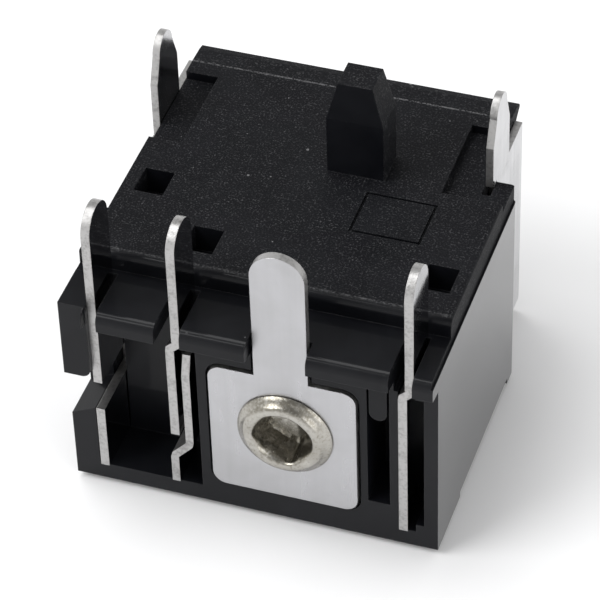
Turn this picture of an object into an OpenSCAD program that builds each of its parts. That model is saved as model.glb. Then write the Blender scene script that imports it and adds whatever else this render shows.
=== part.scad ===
// DC barrel jack for a circuit board: moulded housing, folded shield, hollow centre pin,
// one flat centre terminal and three formed contact terminals.
// Millimetres. +Z is the board side, -Y is the plug side, and the part stands on its shield.
// Distances along Y are given from the shield's front edge, and frame() then centres the part.

/* [Show] */

// Which node to draw

/* [Shield] */

// Outer width over the two sides
shield_width = 14; // [12:0.1:18]
// Sheet thickness
sheet = 0.3; // [0.2:0.05:0.5]
// Height of the two sides beside the socket
shield_side_height = 10; // [9.6:0.05:10.2]
// Height of the left side behind its solder tab
shield_rear_height = 9.4; // [6:0.05:9.5]
// How far the left side runs back from the front
shield_left_length = 9.9; // [5.5:0.1:11]
// How far the right side runs back from the front
shield_right_length = 4.6; // [4.3:0.05:5.2]
// How far the flat under the body runs back from the front
shield_base_length = 13.2; // [8:0.1:13.8]
// Outer radius of the two folds
fold_radius = 0.8; // [0.5:0.05:1.5]
// Width of a solder tab at its root
tab_width = 2.25; // [1.6:0.05:2.8]
// Radius of a solder tab's tip
tab_tip_radius = 0.7; // [0.4:0.05:0.8]
// Length of a solder tab's tapered end
tab_taper = 1.8; // [1:0.1:2.5]
// Distance of the solder tabs' middle from the front
tab_from_front = 3.07; // [2.5:0.01:3.1]
// How far all solder tabs and blades stand over the board face
solder_reach = 3.3; // [2.5:0.05:5]

/* [Housing] */

// Height of the board face over the surface that the shield stands on
body_height = 10.4; // [10.3:0.1:13]
// Length from the shield's front edge to the back face
body_length = 14.4; // [13.9:0.1:20]
// Length of the board face, up to the step at its back
board_face_length = 12.4; // [12:0.05:13]
// How far the front face lies inside the shield's front edge
front_inset = 0.3; // [0:0.05:0.6]
// How far the lip of the board face overhangs the front
lip_reach = 0.8; // [0.3:0.05:1]
// Height of the lip's slanted underside
lip_height = 1; // [0.5:0.05:1.05]
// Where the board face begins to fall towards the lip
lip_crest = 0.45; // [0.2:0.05:0.9]
// Where the wider part begins on the right, with a cheek outside the shield
rear_start = 3.8; // [2.5:0.05:4.2]
// How far the rear half stands out past the shield on the right
rear_proud = 0.85; // [0.6:0.05:2]
// How far the back of the housing lies inside the shield's plane on the left
rear_inset = 0.05; // [0:0.05:0.3]
// Rounding of the board face's back edge
back_edge_radius = 0.35; // [0.1:0.05:0.6]
// Rounding of the long edges of the rear half
long_edge_radius = 0.3; // [0.1:0.05:0.6]
// Rounding of the cheek's front edge
cheek_radius = 0.25; // [0.1:0.05:0.3]
// Height of the grained band under the board face on the right
band_height = 1.1; // [0.5:0.05:1.5]
// How far that band lies inside the smooth side under it
band_inset = 0.1; // [0.05:0.05:0.2]
// Drop from the board face to the ledge behind it
ledge_drop = 0.85; // [0.5:0.05:1]
// How far the ledge overhangs the back face
ledge_overhang = 0.7; // [0.2:0.05:0.9]
// Thickness of the ledge over the contact chambers
ledge_thickness = 0.8; // [0.6:0.05:1.2]
// Rounding of the ledge's back edge
ledge_radius = 0.4; // [0.2:0.05:0.5]
// Width of the recesses beside the solder tabs
tab_recess_width = 1.4; // [0.8:0.05:1.6]
// Where the recesses beside the solder tabs begin
tab_recess_start = 1.2; // [0.9:0.05:1.5]
// Where the recesses beside the solder tabs end
tab_recess_end = 5.5; // [5.4:0.05:6.5]
// Floor thickness under the contact chambers
chamber_floor = 0.75; // [0.5:0.05:1.2]
// Side wall outside the left contact chamber
left_wall = 1; // [0.6:0.05:1.1]
// Side wall outside the right contact chamber
right_wall = 0.55; // [0.3:0.05:0.6]
// Height of the low wall behind the left chamber, at its middle
low_wall_height = 3.5; // [2.5:0.1:4]
// Height of the ear under the ledge's left end
ear_height = 3.6; // [2.5:0.1:4.5]
// How far the ear stands out past the back face
ear_proud = 0.35; // [0:0.05:0.7]

/* [Peg] */

// Width of the locating peg
peg_width = 2.3; // [1.5:0.05:3]
// Depth of the locating peg
peg_depth = 1.6; // [1.2:0.05:2]
// Height of the peg's straight part
peg_straight = 2.6; // [1:0.1:3]
// Height of the peg's tapered tip
peg_taper = 1.7; // [0.5:0.1:2]
// Width of the peg's flat top
peg_top_width = 1.4; // [0.6:0.05:1.5]
// Depth of the peg's flat top
peg_top_depth = 1.35; // [0.6:0.05:1.5]
// Distance of the peg's middle from the front
peg_from_front = 4.7; // [3:0.1:5.2]

/* [Board face] */

// Width of the three core pockets
pocket_width = 1.2; // [0.8:0.05:1.3]
// Length of the three core pockets
pocket_length = 1.4; // [0.8:0.05:1.6]
// Depth of the three core pockets
pocket_depth = 1.2; // [0.6:0.1:1.8]
// Distance of the switch terminal's pocket from the front
switch_pocket = 8.03; // [7:0.01:9]
// Distance of the sleeve terminal's pocket from the front
sleeve_pocket = 10.73; // [9:0.01:11.2]
// Distance of the right terminal's pocket from the front
right_pocket = 10.27; // [9:0.01:11]
// Width of the shallow square outline beside the peg
outline_width = 2.86; // [2:0.01:3]
// Length of the shallow square outline
outline_length = 2.4; // [1.5:0.05:2.6]
// Distance of the square outline from the front
outline_from_front = 6.25; // [6:0.05:7]
// Width of the outline's groove
outline_groove = 0.12; // [0.08:0.01:0.2]

/* [Socket] */

// Diameter of the socket bore
bore_diameter = 8.6; // [7:0.1:8.8]
// Depth of the socket bore, from the shield's front edge
bore_depth = 10.2; // [9:0.1:10.5]
// Distance of the socket axis from the shield's middle, towards the right
axis_offset = 1.85; // [0:0.05:2.1]
// Height of the socket axis over the surface that the shield stands on
axis_height = 4.95; // [4.8:0.05:4.95]
// Chamfer at the socket's mouth
mouth_chamfer = 0.1; // [0.05:0.05:0.15]
// Height of the guide rib inside the bore
guide_rib_height = 1.25; // [0.5:0.05:1.4]
// Thickness of the guide rib
guide_rib_thickness = 0.3; // [0.2:0.05:0.5]
// Distance of the guide rib from the socket axis
guide_rib_offset = 0.75; // [0:0.05:1.5]

/* [Centre pin] */

// Diameter of the pin
pin_diameter = 2; // [1.6:0.05:2.6]
// How far the pin's tip stays behind the shield's front edge
pin_recess = 1; // [0.4:0.05:2]
// Chamfer of the pin's tip
pin_chamfer = 0.2; // [0.1:0.05:0.4]
// Diameter of the shank that the back wall holds
shank_diameter = 2.8; // [2.4:0.05:3.2]
// Diameter of the hollow in the pin's tail
tail_hole = 2.1; // [1.2:0.05:2.2]
// Depth of the hollow in the pin's tail
tail_depth = 2.4; // [1:0.1:3]
// Outer diameter of the rolled ring
ring_diameter = 3.8; // [3.4:0.05:4.4]
// Thickness of the rolled ring
ring_thickness = 0.4; // [0.25:0.05:0.6]

/* [Centre terminal] */

// Thickness of the plate
plate_thickness = 0.35; // [0.25:0.05:0.5]
// Width of the plate
plate_width = 5.85; // [4.6:0.05:5.9]
// Height of the plate
plate_height = 6.1; // [5:0.05:6.4]
// Height of the plate's lower edge over the standing surface
plate_bottom = 1.55; // [1.2:0.05:2]
// Corner radius of the plate
plate_corner = 0.55; // [0.2:0.05:1]
// Width of the plate's solder tab
centre_tab_width = 2.14; // [1.5:0.02:2.6]
// Distance of the plate's middle from the socket axis, towards the left
plate_shift = 0.1; // [0:0.05:0.3]
// How far the plate stands out of the back face
plate_proud = 0.1; // [0:0.05:0.2]

/* [Side terminals] */

// Thickness of the terminal sheets
terminal_sheet = 0.35; // [0.25:0.05:0.4]
// Width of a solder blade along the part
blade_width = 1.85; // [1.2:0.05:1.9]
// How far the blades stand out past the back face
blade_proud = 0.1; // [0:0.05:0.3]
// Distance of the switch terminal from the shield's middle
switch_x = 5.7; // [5.4:0.05:5.75]
// Lower end of the switch terminal's leg
switch_leg_end = 5.5; // [4.9:0.1:6.5]
// Upper edge of the switch terminal's lower plate
switch_plate_top = 4.1; // [3:0.1:4.6]
// Length of the switch terminal's lower plate
switch_plate_length = 4.6; // [3.9:0.1:5]
// Width of the web between the switch terminal's leg and lower plate
switch_web = 1.6; // [1:0.05:1.8]
// Distance of the sleeve terminal's leg from the shield's middle
sleeve_x = 2.65; // [2.6:0.05:3]
// How far a blade is set over from its leg
jog = 0.27; // [0.1:0.01:0.35]
// Height at which the legs jog
jog_height = 8.2; // [7.6:0.1:8.3]
// Length over which a leg jogs
jog_length = 0.5; // [0.3:0.05:0.7]
// Lower end of the sleeve terminal's leg
sleeve_leg_end = 3.6; // [3.5:0.1:4.8]
// Upper end of the sleeve spring's leaf
leaf_top = 7.7; // [6.5:0.1:7.7]
// Height at which the leaf's foot begins to bend out
leaf_bend = 3.3; // [2.9:0.1:3.3]
// How far the leaf's foot is set out
leaf_foot = 0.65; // [0.2:0.05:0.8]
// Distance of the right terminal's leg from the shield's middle, towards the right
right_x = 6.5; // [6.45:0.01:6.6]
// Width of the contact springs along Z
spring_width = 3; // [2:0.1:4]
// Diameter of the plug barrel that the springs press on
barrel_diameter = 5.5; // [5:0.1:6]
// How far the springs reach into the barrel's place when nothing is plugged in
spring_press = 0.25; // [0:0.05:0.5]
// Distance of the springs' contact point from the front
spring_contact = 6.2; // [5.5:0.1:7.2]

/* [Hidden] */

$fn = 64;
fit = 0.03;                       // play round every sheet and pin in its slot
eps = 0.01;                       // cuts run past a face by this much
cut = 1;                          // cuts run out of the body by this much
side_gap = 0.1;                   // gap between the end of a shield side and the housing
chamber_play = 0.5;               // room in the chambers in front of the blades
slot_play = 0.2;                  // gap beside a blade where it passes the ledge
recess_play = 0.12;               // gap round the centre plate in its recess
spring_play = 0.15;               // gap over and under a contact spring
leaf_gap = 0.22;                  // gap between the sleeve terminal's leg and the leaf beside it
spring_seat = 0.4;                // length of a spring that the socket's back end holds
lip_droop = 0.1;                  // fall of the board face from its crest to the lip
lip_nose = 0.15;                  // height of the lip's blunt nose
wall_slope = 0.5;                 // half the height difference across the low wall's top
ear_width = 0.55;                 // width of the ear's back end
cavity_bottom = 2.2;              // floor of the blind cavity beside the right terminal
boss_drop = 2.2;                  // how far the round boss over that cavity hangs down
tip_flare = 1.5;                  // length of a spring's outward tip
shank_step = 0.15;                // shoulder of the shank behind the plate
rib_start = 0.4;                  // distance of the guide rib from the socket's mouth

half_width = shield_width / 2;
inner_half = half_width - sheet;  // inner face of the shield's sides
body_bottom = sheet;
front_half = inner_half - fit;    // half the housing's width between the shield's sides
rear_block_start = shield_right_length + side_gap;
right_face = -half_width - rear_proud;
left_face = half_width - rear_inset;
recess_floor = shield_side_height;
solder_top = body_height + solder_reach;
axis_x = -axis_offset;
plate_x = axis_x + plate_shift;
bore_radius = bore_diameter / 2;
overhang_end = body_length + ledge_overhang;
ledge_top = body_height - ledge_drop;
ledge_under = ledge_top - ledge_thickness;
ear_bottom = ledge_top - ear_height;
chamber_bottom = body_bottom + chamber_floor;
foot_level = chamber_bottom + fit;
plate_back = body_length + plate_proud;
plate_front = plate_back - plate_thickness;
blade_back = body_length + blade_proud;
blade_front = blade_back - blade_width;
chamber_front = blade_front - chamber_play;
switch_front = blade_back - switch_plate_length;
spring_root = bore_depth - spring_seat;   // the springs bend in front of this and are held behind it
spring_low = axis_height - spring_width / 2;
spring_high = axis_height + spring_width / 2;
sheet_half = terminal_sheet / 2;

left_in = left_face - left_wall;
right_in = right_face + right_wall;
chamber_right = plate_x + plate_width / 2 + 0.5;
cavity_left = plate_x - plate_width / 2 - 0.4;
leaf_x = sleeve_x - terminal_sheet - leaf_gap;

colour_black = [0.08, 0.08, 0.09];
colour_tin = [0.78, 0.79, 0.80];
colour_nickel = [0.72, 0.70, 0.66];

// ---- helpers ----

// Puts the part's middle at Y = 0.
module frame() translate([0, -body_length / 2, 0]) children();

// A drawing in X and Z, as thick as from y0 to y1.
module along_y(y0, y1)
    translate([0, y1, 0]) rotate([90, 0, 0]) linear_extrude(y1 - y0) children();

// A drawing in Y and Z, as thick as from x0 to x1.
module along_x(x0, x1)
    translate([x0, 0, 0]) rotate([90, 0, 90]) linear_extrude(x1 - x0) children();

module box(a, b) translate(a) cube(b - a);

// A rectangle from a to b with one radius for its lower and one for its upper corners.
module plate2d(a, b, low, high) {
    translate([a.x, a.y + low]) square([b.x - a.x, b.y - a.y - low - high]);
    translate([a.x + low, a.y]) square([b.x - a.x - 2 * low, low + eps]);
    translate([a.x + high, b.y - high - eps]) square([b.x - a.x - 2 * high, high + eps]);
    for (x = [a.x + low, b.x - low]) if (low > 0) translate([x, a.y + low]) circle(low);
    for (x = [a.x + high, b.x - high]) if (high > 0) translate([x, b.y - high]) circle(high);
}

// Outline of a strip of thickness t along a row of points.
function unit(v) = v / norm(v);
function turn(v) = [-v.y, v.x];
function run(p, i) = unit(p[min(i + 1, len(p) - 1)] - p[max(i - 1, 0)]);
function side(p, t) = [for (i = [0:len(p) - 1]) p[i] + turn(run(p, i)) * t / 2];
function strip(p, t) = concat(side(p, t), [for (i = [len(p) - 1:-1:0]) side(p, -t)[i]]);

// Smooth step from 0 to 1.
function ease(u) = u * u * (3 - 2 * u);

// Plan of a contact spring: straight from the back, bowed in to reach x1, and out again at the tip.
function spring_path(x0, x1, y_back) = concat(
    [[x0, y_back]],
    [for (i = [0:12]) let (u = i / 12, start = spring_root - spring_seat / 2)
        [x0 + (x1 - x0) * ease(u), start + (spring_contact - start) * u]],
    [for (i = [1:5]) let (u = i / 5)
        [x1 + (x0 - x1) * 0.42 * ease(u), spring_contact - tip_flare * u]]);

// ---- housing ----

module front_block() {
    along_y(front_inset, rear_block_start + eps)
        plate2d([-front_half, body_bottom + fit], [front_half, body_height],
                fold_radius - sheet, 0.01);
}

// The lip that the board face ends in over the socket: blunt nose, slanted underside.
module lip() {
    root = body_height - lip_height;
    along_x(-front_half, front_half)
        polygon([[lip_crest, body_height], [-lip_reach / 2, body_height - lip_droop / 3],
                 [-lip_reach + lip_nose / 2, body_height - lip_droop],
                 [-lip_reach, body_height - lip_droop - lip_nose],
                 [front_inset, root], [lip_crest, root]]);
}

// The wider part under the board face, with room for the shield's left side and its fold.
module rear_block() difference() {
    along_y(rear_block_start, board_face_length)
        plate2d([right_face, body_bottom], [left_face, body_height],
                long_edge_radius, long_edge_radius);
    along_y(rear_block_start - cut, shield_left_length + side_gap) difference() {
        translate([0, -cut]) square([left_face + cut, body_height + 2 * cut]);
        plate2d([-front_half, body_bottom], [front_half, body_height + 2 * cut],
                fold_radius - sheet, 0.01);
    }
}

// The cheek that reaches forward outside the shield's right side.
module cheek() {
    r = cheek_radius;
    inner = -half_width - fit;
    box([right_face + r, rear_start, body_bottom], [inner, rear_block_start + eps, recess_floor + eps]);
    box([right_face, rear_start + r, body_bottom],
        [right_face + r + eps, rear_block_start + eps, recess_floor + eps]);
    translate([right_face + r, rear_start + r, body_bottom])
        cylinder(recess_floor + eps - body_bottom, r = r);
}

// Inset of the grained band along the right side.
module side_band()
    box([right_face - cut, rear_start - cut, body_height - band_height],
        [right_face + band_inset, overhang_end + cut, body_height + cut]);

// The part behind the board face: walls of the contact chambers under an overhanging ledge.
module back_block() {
    along_x(right_face, left_face) {
        polygon([[board_face_length - cut, body_bottom], [body_length, body_bottom],
                 [body_length, ledge_under - 0.1], [overhang_end, ledge_under],
                 [overhang_end, ledge_top - ledge_radius],
                 [overhang_end - ledge_radius, ledge_top],
                 [board_face_length - cut, ledge_top]]);
        translate([overhang_end - ledge_radius, ledge_top - ledge_radius]) circle(ledge_radius);
    }
}

// Everything outside the left chamber behind the board face: an ear above, a low wall below.
module left_notch() {
    // gap between ear and low wall, with the low wall's sloped top
    along_y(board_face_length, overhang_end + cut)
        polygon([[left_in - eps, low_wall_height + wall_slope],
                 [left_face + cut, low_wall_height - wall_slope],
                 [left_face + cut, ear_bottom], [left_in - eps, ear_bottom]]);
    // the low wall ends at the back face
    box([left_in, body_length, -cut], [left_face + cut, overhang_end + cut, ear_bottom]);
    box([left_in, body_length + ear_proud, ear_bottom - eps],
        [left_face + cut, overhang_end + cut, body_height]);
    // the ear's slanted inner side
    translate([0, 0, ear_bottom - eps]) linear_extrude(ear_height + ledge_drop + cut)
        polygon([[left_in - eps, overhang_end + cut], [left_in - eps, blade_front],
                 [left_in, blade_front], [left_face - ear_width, body_length],
                 [left_face - ear_width, overhang_end + cut]]);
}

module peg() {
    w = [peg_width / 2, peg_depth / 2];
    top = [peg_top_width / 2, peg_top_depth / 2];
    translate([axis_x, peg_from_front, body_height]) {
        translate([-w.x, -w.y, -eps]) cube([peg_width, peg_depth, peg_straight + 2 * eps]);
        // tapered tip as two crossing wedges
        translate([0, 0, peg_straight]) intersection() {
            along_y(-w.y, w.y)
                polygon([[-w.x, 0], [w.x, 0], [top.x, peg_taper], [-top.x, peg_taper]]);
            along_x(-w.x, w.x)
                polygon([[-w.y, 0], [w.y, 0], [top.y, peg_taper], [-top.y, peg_taper]]);
        }
    }
}

module guide_rib() {
    x = axis_x - guide_rib_offset;
    root = axis_height + bore_radius;
    box([x - guide_rib_thickness / 2, front_inset + rib_start, root - guide_rib_height],
        [x + guide_rib_thickness / 2, bore_depth + eps, root]);
}

module socket() {
    mouth = front_inset + mouth_chamfer;
    translate([axis_x, bore_depth, axis_height]) rotate([90, 0, 0])
        cylinder(bore_depth - front_inset + eps, r = bore_radius, $fn = 96);
    translate([axis_x, mouth, axis_height]) rotate([90, 0, 0])
        cylinder(mouth_chamfer + eps, bore_radius, bore_radius + mouth_chamfer, $fn = 96);
    // hole for the pin's shank
    translate([axis_x, body_length + cut, axis_height]) rotate([90, 0, 0])
        cylinder(body_length - bore_depth + 2 * cut, r = shank_diameter / 2 + fit, $fn = 96);
}

// Recesses beside the solder tabs, open to the side and level with the shield's edge.
module tab_recesses() {
    for (s = [-1, 1]) {
        inner = front_half + fit - tab_recess_width;
        outer = half_width + rear_proud + cut;
        translate([s > 0 ? inner : -outer, tab_recess_start, recess_floor])
            cube([outer - inner, tab_recess_end - tab_recess_start, cut]);
    }
}

module back_rounding() {
    r = back_edge_radius;
    y = board_face_length - r;
    difference() {
        box([right_face - cut, y, body_height - r], [left_face + cut, y + cut, body_height + cut]);
        along_x(right_face - 2 * cut, left_face + 2 * cut)
            translate([y, body_height - r]) circle(r);
    }
}

module plate_recess() {
    p = recess_play;
    along_y(plate_front - fit, overhang_end + cut) {
        plate2d([plate_x - plate_width / 2 - p, plate_bottom - p],
                [plate_x + plate_width / 2 + p, plate_bottom + plate_height + p],
                plate_corner + p, plate_corner + p);
        translate([plate_x - centre_tab_width / 2 - p, plate_bottom + plate_height - plate_corner - p])
            square([centre_tab_width + 2 * p, body_height]);
    }
}

module chambers() {
    out = overhang_end + cut;
    t = sheet_half + fit;
    low = spring_low - spring_play;
    high = spring_high + spring_play;
    // left chamber, and the channel that lets the spring into the socket
    box([chamber_right, chamber_front, chamber_bottom], [left_in, out, ledge_under]);
    box([leaf_x - 3 * t, spring_contact - tip_flare - 2 * spring_play, low], [left_in - t, spring_root, high]);
    box([leaf_x - t, spring_root - eps, low], [leaf_x + t, chamber_front + cut, high]);
    box([switch_x - t, switch_front - fit, chamber_bottom],
        [switch_x + t, chamber_front + eps, ledge_under]);
    // right side: a blind cavity under a round boss, and the terminal's own chamber
    along_y(chamber_front, body_length + cut) difference() {
        translate([-right_x + 0.55, cavity_bottom])
            square([cavity_left + right_x - 0.55, ledge_under - cavity_bottom - 0.3]);
        translate([(cavity_left - right_x + 0.55) / 2, ledge_under - boss_drop + 0.35]) {
            circle(0.35);
            translate([-0.35, 0]) square([0.7, boss_drop]);
        }
    }
    box([right_in, chamber_front, chamber_bottom + chamber_floor / 2],
        [-right_x - jog, body_length + cut, ledge_under - chamber_floor]);
    box([-right_x - jog - t, chamber_front, chamber_bottom],
        [-right_x + t, body_length + cut, ledge_under + eps]);
    box([-right_x - 2 * t, spring_contact - tip_flare - 2 * spring_play, low],
        [axis_x - bore_radius + 3 * t, spring_root, high]);
    box([-right_x - t, spring_root - eps, low], [-right_x + t, chamber_front + cut, high]);
}

module blade_slots() {
    b0 = blade_front - fit;
    e = overhang_end + cut;
    z0 = ledge_under - cut / 2;
    z1 = body_height + cut;
    h = sheet_half;
    box([switch_x - h - slot_play, b0, z0], [switch_x + h + fit, e, z1]);
    box([sleeve_x - jog - h - slot_play, b0, z0], [sleeve_x + h + slot_play, e, z1]);
    box([-right_x - jog - h - slot_play / 2, b0, z0], [-right_x + h + slot_play, e, z1]);
}

module board_pockets() {
    size = [pocket_width, pocket_length, pocket_depth + cut];
    for (p = [[switch_x - 0.19, switch_pocket], [sleeve_x - 0.12, sleeve_pocket],
              [-right_x - 0.15, right_pocket]])
        translate([p.x - size.x / 2, p.y - size.y / 2, body_height - pocket_depth]) cube(size);
    // shallow square outline beside the peg
    g = outline_groove;
    translate([axis_x - 0.7 - outline_width, outline_from_front, body_height - g]) {
        for (y = [0, outline_length - g]) translate([0, y, 0]) cube([outline_width, g, cut]);
        for (x = [0, outline_width - g]) translate([x, 0, 0]) cube([g, outline_length, cut]);
    }
}

module housing() color(colour_black) {
    difference() {
        union() {
            front_block();
            rear_block();
            back_block();
            cheek();
            lip();
            peg();
        }
        socket();
        tab_recesses();
        back_rounding();
        side_band();
        plate_recess();
        chambers();
        blade_slots();
        board_pockets();
        left_notch();
    }
    guide_rib();
}

// ---- shield ----

// Side view of one shield side with its solder tab.
module shield_side(length, rear_height) {
    tab = [tab_from_front - tab_width / 2, tab_from_front + tab_width / 2];
    shoulder = solder_top - tab_taper;
    r = tab_tip_radius;
    polygon([[0, fold_radius], [length, fold_radius], [length, rear_height],
             [tab[1], rear_height], [tab[1], shoulder],
             [tab_from_front + r, solder_top - r], [tab_from_front - r, solder_top - r],
             [tab[0], shoulder], [tab[0], shield_side_height], [0, shield_side_height]]);
    translate([tab_from_front, solder_top - r]) circle(r);
}

module shield() color(colour_tin) {
    right_end = rear_start - side_gap;
    // folded sheet: base, two folds and two sides
    for (s = [[-1, right_end, shield_side_height], [1, shield_left_length, shield_rear_height]]) {
        translate([s[0] > 0 ? inner_half : -half_width, 0, 0])
            along_x(0, sheet) shield_side(s[1], s[2]);
        along_y(0, s[1]) intersection() {
            difference() {
                translate([s[0] * (half_width - fold_radius), fold_radius]) circle(fold_radius);
                translate([s[0] * (half_width - fold_radius), fold_radius])
                    circle(fold_radius - sheet);
            }
            translate([s[0] > 0 ? half_width - fold_radius - eps : -half_width, 0])
                square([fold_radius + eps, fold_radius + eps]);
        }
    }
    box([-half_width + fold_radius, 0, 0],
        [half_width - fold_radius, shield_base_length, sheet]);
}

// ---- metal contacts ----

module centre_pin() color(colour_nickel) {
    r = pin_diameter / 2;
    s = shank_diameter / 2;
    tail = plate_back + ring_thickness;
    h = ring_thickness / 2;
    translate([axis_x, 0, axis_height]) rotate([-90, 0, 0]) rotate_extrude($fn = 96)
        difference() {
            union() {
                polygon([[0, pin_recess], [r - pin_chamfer, pin_recess],
                         [r, pin_recess + pin_chamfer], [r, bore_depth],
                         [s, bore_depth], [s, plate_front - fit],
                         [s - shank_step, plate_front - fit], [s - shank_step, tail - eps],
                         [0, tail - eps]]);
                translate([0, plate_back + fit]) square([ring_diameter / 2 - h, 2 * h - fit]);
                translate([ring_diameter / 2 - h, plate_back + h + fit / 2]) circle(h - fit / 2);
            }
            translate([-cut, tail - tail_depth]) square([tail_hole / 2 + cut, tail_depth + cut]);
        }
}

module centre_terminal() color(colour_tin) {
    top = plate_bottom + plate_height;
    r = centre_tab_width / 2;
    difference() {
        along_y(plate_front, plate_back) {
            plate2d([plate_x - plate_width / 2, plate_bottom], [plate_x + plate_width / 2, top],
                    plate_corner, plate_corner);
            translate([plate_x - r, top - plate_corner])
                square([centre_tab_width, solder_top - r - top + plate_corner]);
            translate([plate_x, solder_top - r]) circle(r);
        }
        translate([axis_x, body_length + cut, axis_height]) rotate([90, 0, 0])
            cylinder(plate_thickness + 2 * cut, r = shank_diameter / 2 - shank_step + fit, $fn = 96);
    }
}

// Side view of a solder blade with a round top.
module blade2d(z0) {
    r = blade_width / 2;
    translate([blade_front, z0]) square([blade_width, solder_top - r - z0]);
    translate([blade_front + r, solder_top - r]) circle(r);
}

// A leg with its blade set over by dx above the jog.
module jogged_blade(x, dx, z0) intersection() {
    a = jog_length / 2;
    along_y(blade_front, blade_back)
        polygon(strip([[x, z0], [x, jog_height - a], [x, jog_height - a / 2],
                       [x + dx, jog_height + a / 2], [x + dx, jog_height + a],
                       [x + dx, solder_top]], terminal_sheet));
    along_x(x - 1, x + 1) blade2d(z0);
}

module switch_terminal() color(colour_tin)
    along_x(switch_x - sheet_half, switch_x + sheet_half) {
        blade2d(switch_leg_end);
        // web inside the chamber, and the lower plate that runs back along the wall
        translate([switch_front, switch_leg_end])
            square([blade_front - switch_front + eps, ledge_under - switch_leg_end - fit]);
        translate([switch_front, foot_level])
            square([switch_web, switch_leg_end - chamber_bottom]);
        translate([switch_front, foot_level])
            square([blade_back - switch_front, switch_plate_top - foot_level]);
    }

module sleeve_terminal() color(colour_tin)
    jogged_blade(sleeve_x, -jog, sleeve_leg_end);

module sleeve_spring() color(colour_tin) {
    x = leaf_x;
    t = terminal_sheet - fit;
    tip = axis_x + barrel_diameter / 2 - spring_press;
    // back leaf with a pointed top and a foot bent outwards
    intersection() {
        along_y(blade_front, blade_back)
            polygon(strip([[x, leaf_top], [x, leaf_bend], [x + fit, leaf_bend - 0.15],
                           [x + leaf_foot - fit, leaf_bend - leaf_foot - 0.15],
                           [x + leaf_foot, leaf_bend - leaf_foot - 0.3],
                           [x + leaf_foot, foot_level]], t));
        along_x(x - 1, x + 1)
            polygon([[blade_front, 0], [blade_back, 0], [blade_back, leaf_top - 0.9],
                     [blade_back - 0.25, leaf_top], [blade_front, leaf_top]]);
    }
    // spring arm into the socket
    translate([0, 0, spring_low]) linear_extrude(spring_width)
        polygon(strip(spring_path(x, tip, blade_front + eps), t));
}

module right_terminal() color(colour_tin) {
    x = -right_x;
    tip = axis_x - barrel_diameter / 2 + spring_press;
    jogged_blade(x, -jog, foot_level);
    translate([0, 0, spring_low]) linear_extrude(spring_width)
        polygon(strip(spring_path(x, tip, blade_front + eps), terminal_sheet));
}

// ---- what is drawn ----

frame() {
    housing();
    shield();
    centre_pin();
    centre_terminal();
    switch_terminal();
    sleeve_terminal();
    sleeve_spring();
    right_terminal();
}
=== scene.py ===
"""Dresses the dc barrel jack and sets it on a pale studio floor.

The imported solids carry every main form. This file gives them their finishes: grained and
polished black moulding, plated sheet and plated turned metal. It also turns the centre pin
with its rolled tail, thickens the ear beside the switch blade, and sets the floor, the
light and the camera.
"""

from __future__ import annotations

import logging
import math
from dataclasses import dataclass, field
from enum import Enum
from typing import Any, ClassVar

import bmesh
import bpy
from mathutils import Matrix, Quaternion, Vector

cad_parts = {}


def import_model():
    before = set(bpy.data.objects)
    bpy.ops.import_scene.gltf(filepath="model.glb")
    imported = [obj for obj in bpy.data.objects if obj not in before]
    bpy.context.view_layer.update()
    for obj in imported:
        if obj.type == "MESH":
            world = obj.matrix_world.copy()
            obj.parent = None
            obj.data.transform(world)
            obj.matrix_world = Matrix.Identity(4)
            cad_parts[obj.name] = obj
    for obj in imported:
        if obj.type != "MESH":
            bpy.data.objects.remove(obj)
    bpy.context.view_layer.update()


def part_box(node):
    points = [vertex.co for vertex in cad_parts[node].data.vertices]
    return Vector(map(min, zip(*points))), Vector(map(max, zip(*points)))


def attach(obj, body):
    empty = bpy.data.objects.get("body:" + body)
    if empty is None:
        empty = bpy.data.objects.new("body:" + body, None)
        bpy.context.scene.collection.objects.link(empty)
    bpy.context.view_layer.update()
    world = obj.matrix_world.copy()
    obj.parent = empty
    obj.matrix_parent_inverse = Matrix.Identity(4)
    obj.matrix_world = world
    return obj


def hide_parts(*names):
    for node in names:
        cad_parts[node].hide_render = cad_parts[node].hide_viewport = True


log = logging.getLogger("barrel_jack")

MM = 0.001

Socket = bpy.types.NodeSocket
Sockets = bpy.types.bpy_prop_collection
Colour = tuple[float, float, float]
Range = tuple[float, float]


class Across(Enum):
    """The direction across a sheet's thickness, by the mask that shows its flat faces."""

    X = "Side"
    Y = "End"


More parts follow.
